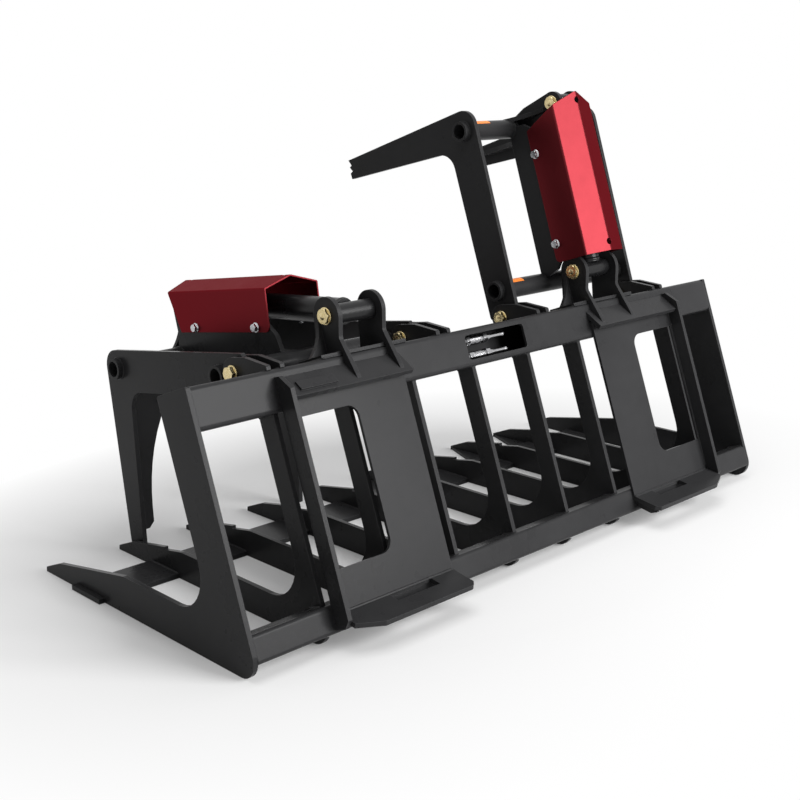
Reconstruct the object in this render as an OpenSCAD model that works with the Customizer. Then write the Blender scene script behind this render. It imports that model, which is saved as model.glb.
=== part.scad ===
// Skeleton grapple for a skid-steer loader: ten rock tines on a leaning frame, two hydraulic clamps.
// X runs across the machine, Y forward to the tine tips, Z up. The origin is on the ground, in the
// middle of the width and of the depth. Places are worked out from the line where the leaning rear
// plane of the frame meets the ground, and from_middle() moves each piece to the origin.
// The left clamp is drawn shut and the right clamp is drawn open.

/* [Frame] */
// Overall width across the two end tines
frame_w = 1524; // [1480:1:1600]
// Forward lean of the rear plane in degrees
lean = 19.7; // [19:0.1:20.5]
// Length up the slope from the ground to the top of the top beam
frame_s = 503; // [500:1:506]
// Thickness of each tine plate
tine_t = 9.5; // [8:0.5:12]
// Reach of the tine tips ahead of the origin
tip_y = 694; // [680:1:710]
// Height of the top edge of an end tine behind the slope
end_foot_h = 74; // [70:1:80]
// Height of the top edge of an inner tine behind the slope
inner_foot_h = 57; // [52:1:62]
// Depth of an end post, square to the slope
end_post_d = 91; // [84:1:96]
// Set-back of the rear edge of an inner post from the rear plane
inner_post_in = 12.5; // [8:0.5:14]
// Depth of the front edge of an inner post from the rear plane
inner_post_out = 54.6; // [52:0.2:62]
// Radius of the gullet between a post and its foot
gullet_r = 72; // [60:1:76]
// Radius of the heel of each tine
heel_r = 34; // [25:1:40]
// Height of the step on an inner tine behind its tip
step_h = 6; // [4:0.5:8]
// Distance of that step behind the tip
step_back = 172; // [160:1:185]

/* [Beams] */
// Side of the square top beam tube
top_side = 76; // [74:1:78]
// Wall of the top beam tube
top_wall = 6.35; // [5:0.05:8]
// Outer corner radius of the top beam tube
top_r = 9; // [6:0.5:10]
// Side of the square bottom beam tube
bottom_side = 50.8; // [48:0.2:52]
// Wall of the bottom beam tube
bottom_wall = 6.35; // [4:0.05:8]
// Outer corner radius of the bottom beam tube
bottom_r = 7; // [5:0.5:9]
// Length up the slope from the ground to the underside of the bottom beam
bottom_s = 33.5; // [31:0.5:36]
// Width of the coupler opening in the top beam
open_w = 176; // [150:1:200]
// Height of the coupler opening
open_h = 50; // [40:1:54]
// Corner radius of the coupler opening
open_r = 7; // [4:0.5:12]
// Middle of the coupler opening across the frame
open_x = -14; // [-30:1:30]
// Set-back of the front edge of the cross bar from the tine tips
bar_back = 120; // [110:1:130]
// Width of the flat cross bar
bar_w = 100; // [90:1:110]
// Thickness of the flat cross bar
bar_t = 9.5; // [8:0.5:12]
// Stand-out of the cross bar beyond the end tines
bar_end = 12; // [6:1:20]
// Width of the corner plates beside the tines at the cross bar
corner_w = 50; // [40:1:60]
// Thickness of the corner plates
corner_t = 6.35; // [5:0.05:6.4]

/* [Quick attach] */
// Width over the outer faces of the two flanges
qa_w = 1164; // [1150:1:1170]
// Distance from the middle to the inner edge of each face plate
qa_in = 290; // [280:1:300]
// Thickness of each face plate
qa_t = 6.35; // [5:0.05:8]
// Thickness of each flange
flange_t = 9.5; // [8:0.5:12]
// Stand-out of each flange behind the rear plane
flange_d = 37; // [34:1:40]
// Width of the window in each face plate, from the flange inward
win_w = 152; // [120:1:170]
// Height of the window up the slope
win_h = 273; // [240:1:290]
// Radius of the window's inner corners
win_r = 24; // [15:1:35]
// Thickness of the top ledge
ledge_t = 9.5; // [8:0.5:12]
// Slope of the top ledge away from the face plate in degrees
ledge_a = 39; // [35:1:42]
// Width of the top ledge down its slope
ledge_w = 50; // [44:1:54]
// Root opening left for the weld between the face plate and the ledge
ledge_root = 3; // [2.8:0.1:5]
// Thickness of the bottom lip
lip_t = 9.5; // [8:0.5:12]
// Stand-out of the bottom lip along its slope
lip_w = 72; // [62:1:76]
// Droop of the bottom lip in degrees
lip_a = 29; // [24:1:34]
// Length of the cut at the outer corner of the lip
lip_cut_w = 52; // [30:1:60]
// Depth of that cut
lip_cut_d = 24; // [15:1:30]
// Distance from the inner end of the lip to the lock slot
slot_in = 60; // [50:1:80]
// Length of the lock slot at the root of the lip
slot_w = 106; // [90:1:115]
// Depth of the lock slot
slot_d = 33; // [28:1:38]

/* [Clamps] */
// Distance from the middle of the frame to the middle of each clamp
clamp_x = 361.5; // [355:0.5:370]
// Half width over the two hook plates
clamp_half = 214; // [208:1:218]
// Thickness of each hook plate
hook_t = 9.5; // [8:0.5:12]
// Opening angle of the right clamp as drawn
open_a = 79.6; // [70:0.1:80]
// Outside diameter of the front and rear cross tubes
tube_d = 42; // [38:1:46]
// Bore of the cross tubes
tube_bore = 32; // [26:1:34]
// Stand-out of the cross tubes past the hook plates
tube_out = 12.4; // [8:0.2:14]
// Diameter of the hinge bolts
hinge_d = 19; // [16:0.5:22]
// Space on the hinge bolt between a hook plate and an ear
hinge_gap = 5.5; // [4:0.5:8]
// Radius of the round end of a hinge ear
hinge_ear_r = 29; // [26:1:30]
// Radial clearance on every turning pin
pin_fit = 0.08; // [0.02:0.01:0.1]

/* [Guards] */
// Half width of the guard over its sheet
guard_half = 66.6; // [66:0.2:68]
// Sheet thickness of the guard
guard_t = 3; // [2:0.5:3]
// Relief hole diameter at the ends of the ridge bend
relief_d = 13; // [8:1:16]
// Distance of the relief holes from the ends of the ridge
relief_in = 20; // [12:1:30]

/* [Cylinders] */
// Outside diameter of the barrel
barrel_d = 50; // [46:1:52]
// Bore of the barrel
barrel_bore = 40; // [36:1:42]
// Length from the base pin to the front of the barrel
barrel_l = 300; // [290:1:305]
// Length from the middle of the rod's eye to the back of its piston
rod_l = 300; // [285:1:310]
// Diameter of the chrome rod
rod_d = 25.4; // [22:0.2:28]
// Diameter of the base pin
base_pin_d = 25.4; // [22:0.2:26]
// Outside diameter of the cross tube at the barrel's base
base_tube_d = 38; // [35:1:40]
// Half distance between the outer faces of the bracket ears
ear_half = 58.7; // [57:0.1:60]
// Radius of the eye of a bracket ear
ear_r = 35; // [32:1:36]

/* [Hidden] */
$fn = 64;
eps = 0.02;
pitch = (frame_w - tine_t) / 9;
sn = sin(lean);
cs = cos(lean);

// Pivot of both clamps, and the base pin of both cylinders, in Y and Z
pivot = [272.1, 450.1];
base_pin = [213.4, 538.3];
// Rod pin, front tube and rear tube in a clamp's own plane: forward and up from its pivot when shut
rod_pin = [447.8, 48.3];
front_tube = [409, -60.3];
rear_tube = [57.9, -17.1];
// Slope of a clamp arm: the channel and the guard follow it
arm_a = -8.1;
// Along and above the arm slope: rod pin place used by the cheek plates
rod_arm = [rod_pin[0] * cos(arm_a) + rod_pin[1] * sin(arm_a),
           -rod_pin[0] * sin(arm_a) + rod_pin[1] * cos(arm_a)];
front_arm = [front_tube[0] * cos(arm_a) + front_tube[1] * sin(arm_a),
             -front_tube[0] * sin(arm_a) + front_tube[1] * cos(arm_a)];
rear_arm = [rear_tube[0] * cos(arm_a) + rear_tube[1] * sin(arm_a),
            -rear_tube[0] * sin(arm_a) + rear_tube[1] * cos(arm_a)];
plate_t = 9.5;
// Tip of the foremost tooth of a hook, and height of the lip's root up the slope
tooth = [400, -443.2];
lip_s = 70;
// Middle of the depth, between the end of the lips and the teeth of the open clamp
lip_end = lip_s - lip_w * sin(lip_a);
rear_y = lip_end * sn - lip_w * cos(lip_a) * cs;
front_y = pivot[0] + tooth[0] * cos(open_a) - tooth[1] * sin(open_a);
mid_y = (front_y + rear_y) / 2;

// Shared outlines

function unit(v) = v / norm(v);

// Arc that rounds the corner b between a and c with radius r
function corner(a, b, c, r) =
    let (u = unit(a - b), w = unit(c - b),
         half = acos(max(-1, min(1, u * w))) / 2,
         mid = b + unit(u + w) * r / sin(half),
         turn = 180 - 2 * half,
         first = b + u * r / tan(half) - mid,
         side = (u[0] * w[1] - u[1] * w[0]) > 0 ? -1 : 1,
         n = max(2, ceil(turn / 12)))
    [for (i = [0:n])
        let (t = side * turn * i / n)
        mid + [first[0] * cos(t) - first[1] * sin(t), first[0] * sin(t) + first[1] * cos(t)]];

// Outline from points [x, y, radius], each corner rounded by its radius
function outline(p) =
    [for (i = [0:len(p) - 1])
        let (n = len(p), q = p[i],
             a = p[(i + n - 1) % n], c = p[(i + 1) % n])
        each (q[2] == 0 ? [[q[0], q[1]]]
              : corner([a[0], a[1]], [q[0], q[1]], [c[0], c[1]], q[2]))];

// Point at depth f forward of the rear plane and s up the slope, in Y and Z
function on_slope(f, s) = [s * sn + f * cs, s * cs - f * sn];

// Moves a piece from the rear plane's foot to the middle of the depth
module from_middle() {
    translate([0, -mid_y, 0]) children();
}

// Plate of thickness t from x onward, drawn in the Y-Z plane
module plate_yz(x, t) {
    translate([x, 0, 0]) rotate([90, 0, 90]) linear_extrude(t) children();
}

// Frame of the rear plane: X across, Y forward square to the slope, Z up the slope
module slope() {
    rotate([-lean, 0, 0]) children();
}

// Round bar along X
module bar_x(x0, x1, yz, r) {
    translate([x0, yz[0], yz[1]]) rotate([0, 90, 0]) cylinder(h = x1 - x0, r = r);
}

// Hexagon head along X, across flats af
module hex_x(x0, x1, yz, af) {
    translate([x0, yz[0], yz[1]]) rotate([0, 90, 0]) cylinder(h = x1 - x0, d = af / cos(30), $fn = 6);
}

// Tines

coupler_f = 20;
coupler_s = [frame_s - 24, frame_s - 56];
bulkhead_x = 14;
bulkhead_t = 8;

slope_run = 0.18;
tip_h = 9.8;
tip_run = 55;
tip_top = 31.5;

// Height of the sloping top edge at a distance back from the tip
function tip_edge(back) = tip_top + slope_run * (back - tip_run);

module end_tine_2d() {
    knee = tip_run + (end_foot_h - tip_top) / slope_run;
    difference() {
        polygon(outline([
            [0, 0, heel_r],
            concat(on_slope(0, frame_s), [3]),
            concat(on_slope(end_post_d, frame_s), [6]),
            concat(on_slope(end_post_d, (end_foot_h + end_post_d * sn) / cs), [gullet_r]),
            [tip_y - knee, end_foot_h, 8],
            [tip_y - tip_run, tip_top, 4],
            [tip_y - 1, tip_h, 0],
            [tip_y, 0, 0]]));
    }
}

module inner_tine_2d() {
    low = inner_foot_h + step_h;
    knee = tip_run + (low - tip_top) / slope_run;
    difference() {
        polygon(outline([
            concat(on_slope(inner_post_in, inner_post_in * sn / cs), [heel_r]),
            concat(on_slope(inner_post_in, frame_s - top_side), [0]),
            concat(on_slope(inner_post_out, frame_s - top_side), [0]),
            concat(on_slope(inner_post_out, (inner_foot_h + inner_post_out * sn) / cs), [gullet_r]),
            [tip_y - knee, inner_foot_h, 6],
            [tip_y - step_back, tip_edge(step_back) - step_h, 0],
            [tip_y - step_back, tip_edge(step_back), 0],
            [tip_y - tip_run, tip_top, 4],
            [tip_y - 1, tip_h, 0],
            [tip_y, 0, 0]]));
        // Seat for the bottom beam
        rotate(-lean) beam_seat_2d();
    }
}

// Square seat that the bottom beam fills
module beam_seat_2d() {
    translate([-5, bottom_s - 5]) square([bottom_side + 5, bottom_side + 5]);
}

// Slot in a tine for the flat cross bar, open at the bottom
module bar_slot_2d() {
    translate([tip_y - bar_back - bar_w, -1]) square([bar_w, bar_t + 1]);
}

module tine(k) {
    x = -frame_w / 2 + (k - 1) * pitch;
    color("#2b2b2d") from_middle() plate_yz(x, tine_t) difference() {
        if (k == 1 || k == 10) end_tine_2d(); else inner_tine_2d();
        bar_slot_2d();
    }
}

// Beams

module square_tube_2d(side, wall, r) {
    difference() {
        polygon(outline([[0, 0, r], [side, 0, r], [side, side, r], [0, side, r]]));
        translate([wall, wall]) square(side - 2 * wall);
    }
}

module top_beam() {
    inner = frame_w / 2 - tine_t;
    color("#2b2b2d") from_middle() slope() difference() {
        union() {
            translate([0, 0, frame_s - top_side]) plate_yz(-inner, 2 * inner)
                square_tube_2d(top_side, top_wall, top_r);
            // Bulkhead that holds the two couplers
            translate([open_x - open_w / 2 - bulkhead_x, top_wall - 1, frame_s - top_side + top_wall - 1])
                cube([bulkhead_t, top_side - 2 * top_wall + 2, top_side - 2 * top_wall + 2]);
        }
        for (s = coupler_s) bar_x(open_x - open_w / 2 - bulkhead_x - 1, open_x - open_w / 2, [coupler_f, s], 8);
        translate([open_x - open_w / 2, -1, frame_s - top_side + (top_side - open_h) / 2])
            rotate([90, 0, 0]) mirror([0, 0, 1]) linear_extrude(top_wall + 2)
            polygon(outline([[0, 0, open_r], [open_w, 0, open_r],
                             [open_w, open_h, open_r], [0, open_h, open_r]]));
    }
}

module bottom_beam() {
    inner = frame_w / 2 - tine_t;
    color("#2b2b2d") from_middle() slope() translate([0, 0, bottom_s]) plate_yz(-inner, 2 * inner)
        square_tube_2d(bottom_side, bottom_wall, bottom_r);
}

// Flat bar under all tines, with a corner plate on the inward side of each inner tine
module cross_bar() {
    y1 = tip_y - bar_back;
    half = frame_w / 2 + bar_end;
    color("#2b2b2d") from_middle() {
        translate([-half, y1 - bar_w, 0]) cube([2 * half, bar_w, bar_t]);
        for (k = [2:9]) {
            side = k <= 5 ? 1 : -1;
            root = -frame_w / 2 + (k - 1) * pitch + (k <= 5 ? tine_t : -corner_w);
            linear_extrude(corner_t) polygon(
                [[root, y1 - 2], [root + corner_w, y1 - 2],
                 [root + corner_w, side > 0 ? y1 : tip_y - 6], [root, side > 0 ? tip_y - 6 : y1]]);
        }
    }
}

// Quick attach

qa_out = qa_w / 2;
ledge_s = 486;
ledge_run = ledge_w * sin(ledge_a);
ledge_drop = ledge_w * cos(ledge_a);
plate_top = ledge_s - ledge_t / sin(ledge_a) - qa_t / tan(ledge_a) - ledge_root;

// Face plate with its drooping bottom lip, for the side where X is positive
module qa_plate() {
    plate_w = qa_out - flange_t - qa_in;
    win_x = qa_out - flange_t - win_w;
    win_s = lip_s + 68;
    slot_x = qa_in + slot_in;
    color("#2b2b2d") from_middle() slope() {
        difference() {
            translate([qa_in, -qa_t, lip_s - 2]) cube([plate_w, qa_t, plate_top - lip_s + 2]);
            // Window open to the flange
            translate([win_x, 1, win_s]) rotate([90, 0, 0]) linear_extrude(qa_t + 2)
                polygon(outline([[0, 0, win_r], [win_w + 1, 0, 0], [win_w + 1, win_h, 0], [0, win_h, win_r]]));
        }
        translate([0, 0, lip_s]) rotate([lip_a, 0, 0]) difference() {
            translate([qa_in, -lip_w, -lip_t]) linear_extrude(lip_t)
                polygon(outline([[0, lip_w, 0], [0, 10, 3], [10, 0, 4], [plate_w - lip_cut_w, 0, 8],
                                 [plate_w, lip_cut_d, 0], [plate_w, lip_w, 0]]));
            translate([slot_x, -slot_d, -lip_t - 1]) cube([slot_w, slot_d - qa_t - 1, lip_t + 2]);
            rotate([-lip_a, 0, 0]) translate([qa_in - 1, 0, -20]) cube([qa_w, 20, 40]);
        }
        // Tab under the inner end of the lip
        plate_yz(qa_in + 10, plate_t)
            polygon([[0, bottom_s + 8], [0, lip_s - 8], [-40, lip_s - 32], [-46, lip_s - 46], [-30, lip_s - 46]]);
    }
}

module qa_flange() {
    x = qa_out - flange_t;
    color("#2b2b2d") from_middle() slope() plate_yz(x, flange_t)
        polygon([[0, bottom_s + 6], [0, ledge_s + 2], [-12, ledge_s + 2], [-flange_d, ledge_s - 23],
                 [-flange_d, bottom_s + 20], [-flange_d + 14, bottom_s + 6]]);
}

// Sloping top ledge with a small gusset at its inner end
module qa_ledge(block) {
    len = qa_out - flange_t - qa_in;
    color("#2b2b2d") from_middle() slope() {
        translate([0, 0, ledge_s]) rotate([90 - ledge_a, 0, 0]) difference() {
            translate([qa_in - 4, -ledge_w, -ledge_t]) cube([len + 4, ledge_w + 6, ledge_t]);
            rotate([ledge_a - 90, 0, 0]) translate([qa_in - 10, 0, -40]) cube([len + 20, 60, 80]);
        }
        if (block) translate([0, 0, ledge_s]) rotate([90 - ledge_a, 0, 0])
            translate([qa_out - flange_t - 105, -40, 0]) cube([84, 20, 4]);
    }
}

// Hinge ears and bolts

// Left faces of the four hook plates
hook_x = [-clamp_x - clamp_half, -clamp_x + clamp_half - hook_t,
          clamp_x - clamp_half, clamp_x + clamp_half - hook_t];

module hinge_ear_2d() {
    top = frame_s;
    front = top_side;
    pf = pivot[0] * cs - pivot[1] * sn;
    ps = pivot[0] * sn + pivot[1] * cs;
    rotate(-lean) difference() {
        union() {
            polygon(outline([[4, top, 0], [4, top + 8, 4], [60, top + 33, 10], [pf - 6, ps + hinge_ear_r - 1, 0],
                             [pf + 20, ps - 20, 0], [front + 8, top - 56, 6], [front, top - 56, 0],
                             [front, top, 0]]));
            translate([pf, ps]) circle(r = hinge_ear_r);
        }
        translate([pf, ps]) circle(d = hinge_d);
        translate([front - 40, top - top_side]) square([40, top_side]);
    }
}

module hinge_ears(k) {
    a = hook_x[k] - hinge_gap - plate_t;
    b = hook_x[k] + hook_t + hinge_gap;
    color("#2b2b2d") from_middle() {
        plate_yz(a, plate_t) hinge_ear_2d();
        plate_yz(b, plate_t) hinge_ear_2d();
    }
}

// Bolt, two spacer washers and nut of one hinge
module hinge_bolt(k) {
    x = hook_x[k];
    r = hinge_d / 2;
    a = x - hinge_gap - plate_t;
    b = x + hook_t + hinge_gap + plate_t;
    run = 0.3;
    color("#b9985a") from_middle() {
        bar_x(a - 3, b + 3, pivot, r);
        bar_x(a - 3, a, pivot, 15);
        hex_x(a - 12, a - 2.9, pivot, 25);
        bar_x(b, b + 3, pivot, 15);
        hex_x(b + 2.9, b + 13, pivot, 25);
        bar_x(x - hinge_gap, x - run, pivot, 14);
        bar_x(x + hook_t + run, x + hook_t + hinge_gap, pivot, 14);
    }
}

// Cylinder brackets

saddle_t = 6.35;
saddle_half = 105;
web_f = 50;
// Rear foot of a bracket ear, over the ledge
ear_foot = [134, 444];

module bracket_ear_2d() {
    difference() {
        union() {
            translate(base_pin) circle(r = ear_r);
            polygon(outline([
                [base_pin[0] - ear_r, base_pin[1], 0],
                [base_pin[0] - ear_r, base_pin[1] - 36, 14],
                concat(ear_foot, [4]),
                [ear_foot[0] - 5, ear_foot[1] - 8, 0],
                concat(on_slope(0, ledge_s), [0]),
                concat(on_slope(0, frame_s + saddle_t), [0]),
                concat(on_slope(top_side - 4, frame_s + saddle_t), [0]),
                [base_pin[0] + ear_r, base_pin[1], 0]]));
        }
        translate(base_pin) circle(d = base_pin_d);
        // Room for the sloping ledge under the rear foot
        rotate(-lean) translate([0, ledge_s]) rotate(90 - ledge_a)
            translate([-80, -40]) square([80, 40]);
    }
}

// Curved web that braces an ear from its outer side
module bracket_web(side) {
    h = 72;
    foot = 40;
    n = 8;
    slope() translate([0, web_f, frame_s + saddle_t - eps]) rotate([90, 0, 0]) linear_extrude(plate_t)
        polygon(concat([[side * (ear_half - 1), 0], [side * (ear_half - 1), h]],
                       [for (i = [0:n]) let (t = i / n)
                           [side * (ear_half + 4 + (foot - 4) * pow(t, 2.4)), h * (1 - t)]]));
}

module bracket(c) {
    color("#2b2b2d") from_middle() translate([c, 0, 0]) {
        plate_yz(-ear_half, plate_t) bracket_ear_2d();
        plate_yz(ear_half - plate_t, plate_t) bracket_ear_2d();
        slope() translate([-saddle_half, 3, frame_s]) cube([2 * saddle_half, top_side - 6, saddle_t]);
        bracket_web(-1);
        bracket_web(1);
    }
}

module base_pin_piece(c) {
    h = ear_half;
    color("#b9985a") from_middle() translate([c, 0, 0]) {
        bar_x(-h - 2, h + 2, base_pin, base_pin_d / 2);
        bar_x(-h - 3, -h, base_pin, 16.5);
        hex_x(-h - 9, -h - 2.9, base_pin, 27);
        bar_x(h, h + 3, base_pin, 16.5);
        hex_x(h + 2.9, h + 9, base_pin, 27);
    }
}

// Quick coupler along X, screwed into the bulkhead
module coupler(s) {
    x = open_x - open_w / 2;
    color("#b8babc") from_middle() slope() {
        bar_x(x - bulkhead_x - 4, x + 6, [coupler_f, s], 8);
        hex_x(x - bulkhead_x + bulkhead_t, x + 14, [coupler_f, s], 22);
        bar_x(x + 13.9, x + 50, [coupler_f, s], 9.5);
        bar_x(x + 22, x + 42, [coupler_f, s], 11.5);
        bar_x(x + 49.9, x + 76, [coupler_f, s], 10.5);
        hex_x(x + 75.9, x + 92, [coupler_f, s], 22);
        bar_x(x + 91.9, x + 112, [coupler_f, s], 9.5);
    }
}

// Clamps: everything below is drawn in a clamp's own plane, shut, with its pivot at the origin

module placed(c, angle) {
    translate([c, pivot[0], pivot[1]]) rotate([angle, 0, 0]) children();
}

// Outer and inner corner of a hook's knee, with their radii
knee = [457.9, -29.4];
knee_r = 36;
throat = [369.6, -103.6];
throat_r = 40;
// Rear end of a hook: above, below and behind its pivot
arm_top = 34.5;
arm_low = 47;
arm_back = 24;
// Tips and gaps of the teeth, back from the foremost tip and above it
teeth = [[0, 0], [-13, 8.7], [-17, 1.7], [-27, 10.2], [-31, 2.2], [-45, 4.7]];

module hook_2d() {
    difference() {
        polygon(outline(concat(
            [[-5, arm_top, 4], concat(knee, [knee_r])],
            [for (g = teeth) [tooth[0] + g[0], tooth[1] + g[1], 0]],
            [concat(throat, [throat_r]), [-2, -arm_low, 8], [-arm_back, -18, 8], [-arm_back, 12, 8]])));
        circle(d = hinge_d + 2 * pin_fit);
        translate(front_tube) circle(d = tube_d);
        translate(rear_tube) circle(d = tube_d);
    }
}

// Corner web along the leg of an outer hook, on its inner face
module leg_web(side) {
    top = front_tube;
    end = [383, -405];
    len = norm(top - end);
    a = atan2(end[1] - top[1], end[0] - top[0]);
    start = tube_d / 2;
    sunk = 2;
    n = 10;
    x0 = side > 0 ? hook_t - clamp_half : clamp_half - hook_t;
    translate([x0, top[0], top[1]]) rotate([a, 0, 0]) translate([0, 0, -plate_t / 2])
        linear_extrude(plate_t)
        polygon(concat([[-side * sunk, len], [-side * sunk, start]],
                       [for (i = [0:n]) let (t = i / n, y = start + (len - 12 - start) * t)
                           [side * (34 + 106 * pow(1 - t, 2.5)), y]],
                       [[side * 22, len]]));
}

module hook_outer(c, angle, side) {
    x = side > 0 ? -clamp_half : clamp_half - hook_t;
    color("#2b2b2d") from_middle() placed(c, angle) {
        plate_yz(x, hook_t) hook_2d();
        leg_web(side);
    }
}

module hook_inner(c, angle, side) {
    x = side > 0 ? clamp_half - hook_t : -clamp_half;
    color("#2b2b2d") from_middle() placed(c, angle) plate_yz(x, hook_t) hook_2d();
}

module cross_tube(c, angle, at) {
    h = clamp_half + tube_out;
    color("#2b2b2d") from_middle() placed(c, angle) difference() {
        bar_x(-h, h, at, tube_d / 2);
        bar_x(-h - 1, h + 1, at, tube_bore / 2);
    }
}

// Arm frame: Y along the arm slope, Z above it
module along_arm() {
    rotate([arm_a, 0, 0]) children();
}

guard_in = guard_half - guard_t;
bolt_q = 59.6;
bolt_p = [134, 338];

// Two side plates that stand on the cross tubes and carry the guard
module side_plates(c, angle) {
    color("#2b2b2d") from_middle() placed(c, angle) along_arm() difference() {
        for (x = [-guard_in, guard_in - plate_t]) plate_yz(x, plate_t)
            polygon(outline([[rear_arm[0] + 2, -4, 0], [79, 44, 3], [110, 71, 6], [385, 78, 10], [411, 40, 6],
                             [front_arm[0], front_arm[1], 0]]));
        bar_x(-90, 90, front_arm, tube_d / 2);
        bar_x(-90, 90, rear_arm, tube_d / 2);
        for (p = bolt_p) bar_x(-90, 90, [p, bolt_q], 5);
    }
}

cheek_in = 26;
cheek_out = cheek_in + plate_t;

// Two cheek plates at the front tube that carry the rod pin, each braced by a curved web
module cheeks(c, angle) {
    n = 8;
    web_p = 425;
    color("#2b2b2d") from_middle() placed(c, angle) along_arm() difference() {
        union() {
            for (x = [-cheek_out, cheek_in]) plate_yz(x, plate_t) union() {
                translate(rod_arm) circle(r = 25);
                polygon(outline([[front_arm[0] - 24, -4, 6], [rod_arm[0] - 24, rod_arm[1], 0],
                                 [rod_arm[0] + 25, rod_arm[1], 0], [rod_arm[0] + 14, 30, 20],
                                 [front_arm[0] + 26, 0, 6]]));
            }
            for (side = [-1, 1]) translate([0, web_p + plate_t, 0]) rotate([90, 0, 0])
                linear_extrude(plate_t)
                polygon(concat([[side * (cheek_out - 1), 2], [side * (cheek_out - 1), 88]],
                               [for (i = [0:n]) let (t = i / n)
                                   [side * (cheek_out + 5 + 40 * pow(t, 2.2)), 88 - 86 * t]]));
        }
        bar_x(-110, 110, front_arm, tube_d / 2);
        bar_x(-90, 90, rod_arm, base_pin_d / 2);
    }
}

// The opened pivot: a headed pin half in each cheek, ending just short of the rod eye
rod_eye_half = 17;
rod_eye_r = 19;

module rod_pin_piece(c, angle) {
    color("#b9985a") from_middle() placed(c, angle) along_arm() for (side = [0, 1]) mirror([side, 0, 0]) {
        bar_x(-cheek_out - 2, -rod_eye_half - 1, rod_arm, base_pin_d / 2);
        bar_x(-cheek_out - 3, -cheek_out, rod_arm, 16);
        hex_x(-cheek_out - 9, -cheek_out - 2.9, rod_arm, 25);
    }
}

// Folded guard: two sides and a shallow roof, front cut on a rake
guard_low = 50.1;
guard_mid = 134.9;
guard_top = 154.3;
guard_rear = 92.2;
guard_front_mid = 425.9;
guard_front_low = 392.1;
guard_front_top = 450.1;

function guard_section(d) = let (roof = d / cos(atan((guard_top - guard_mid) / guard_half)))
    [[-guard_half + d, guard_low - (d > 0 ? 1 : 0)],
     [-guard_half + d, guard_mid - roof + d * (guard_top - guard_mid) / guard_half],
     [0, guard_top - roof],
     [guard_half - d, guard_mid - roof + d * (guard_top - guard_mid) / guard_half],
     [guard_half - d, guard_low - (d > 0 ? 1 : 0)]];

module guard(c, angle) {
    reach = guard_front_top + 5;
    color("#8c1d24") from_middle() placed(c, angle) along_arm() difference() {
        translate([0, reach, 0]) rotate([90, 0, 0]) linear_extrude(reach - guard_rear) difference() {
            polygon(guard_section(0));
            polygon(guard_section(guard_t));
        }
        // Rake of the front end
        plate_yz(-guard_half - 1, 2 * guard_half + 2)
            polygon([[guard_front_low, guard_low - 5], [guard_front_low, guard_low],
                     [guard_front_mid, guard_mid], [guard_front_top, guard_top], [guard_front_top, guard_top + 5],
                     [reach + 10, guard_top + 5], [reach + 10, guard_low - 5]]);
        // Rounded lower corner at the rear
        plate_yz(-guard_half - 1, 2 * guard_half + 2) difference() {
            translate([guard_rear - 1, guard_low - 1]) square(13);
            translate([guard_rear + 12, guard_low + 12]) circle(r = 12);
        }
        for (p = bolt_p) bar_x(-90, 90, [p, bolt_q], 5);
        for (p = [guard_rear + relief_in, guard_front_top - relief_in])
            translate([0, p, guard_top - 20]) cylinder(h = 40, d = relief_d);
    }
}

module guard_bolts(c, angle) {
    color("#b8babc") from_middle() placed(c, angle) along_arm()
        for (p = bolt_p) for (side = [0, 1]) mirror([side, 0, 0]) {
            bar_x(-guard_half - 2, -guard_in + plate_t + 8, [p, bolt_q], 5);
            bar_x(-guard_half - 1.5, -guard_half, [p, bolt_q], 10);
            hex_x(-guard_half - 8, -guard_half - 1.4, [p, bolt_q], 15);
            hex_x(-guard_in + plate_t, -guard_in + plate_t + 7, [p, bolt_q], 15);
        }
}

// Cylinders: Y runs from the base pin to the rod pin

// Rod pin in Y and Z for a clamp opened by an angle
function rod_at(angle) = pivot + [rod_pin[0] * cos(angle) - rod_pin[1] * sin(angle),
                                  rod_pin[0] * sin(angle) + rod_pin[1] * cos(angle)];

module on_cylinder(c, angle) {
    d = rod_at(angle) - base_pin;
    translate([c, base_pin[0], base_pin[1]]) rotate([atan2(d[1], d[0]), 0, 0]) children();
}

function cylinder_l(angle) = norm(rod_at(angle) - base_pin);

module rod_y(y0, y1, r) {
    translate([0, y1, 0]) rotate([90, 0, 0]) cylinder(h = y1 - y0, r = r);
}

port_y = [44, barrel_l - 34];

module barrel(c, angle) {
    half = ear_half - plate_t - 0.5;
    cap = base_tube_d / 2 - 4;
    color("#232325") from_middle() on_cylinder(c, angle) difference() {
        union() {
            bar_x(-half, half, [0, 0], base_tube_d / 2);
            rod_y(cap, barrel_l - 14, barrel_d / 2);
            for (y = port_y) translate([0, y, -barrel_d / 2 - 9]) cylinder(h = 14, r = 10);
        }
        bar_x(-half - 1, half + 1, [0, 0], base_pin_d / 2 + pin_fit);
        rod_y(cap + 16, barrel_l, barrel_bore / 2);
        for (y = port_y) translate([0, y, -barrel_d / 2 - 10]) cylinder(h = 16, r = 5);
    }
}

module gland(c, angle) {
    color("#232325") from_middle() on_cylinder(c, angle) difference() {
        union() {
            rod_y(barrel_l - 30, barrel_l - 14, barrel_bore / 2);
            rod_y(barrel_l - 14, barrel_l, barrel_d / 2 + 2);
        }
        rod_y(barrel_l - 31, barrel_l + 1, rod_d / 2 + pin_fit);
    }
}

module rod(c, angle) {
    l = cylinder_l(angle);
    inner = l - rod_l;
    color("#d4d6d8") from_middle() on_cylinder(c, angle) difference() {
        union() {
            rod_y(inner, l - 14, rod_d / 2);
            rod_y(inner, inner + 22, barrel_bore / 2 - 0.3);
            bar_x(-rod_eye_half, rod_eye_half, [l, 0], rod_eye_r);
        }
        bar_x(-rod_eye_half - 1, rod_eye_half + 1, [l, 0], base_pin_d / 2 + pin_fit);
    }
}

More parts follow.
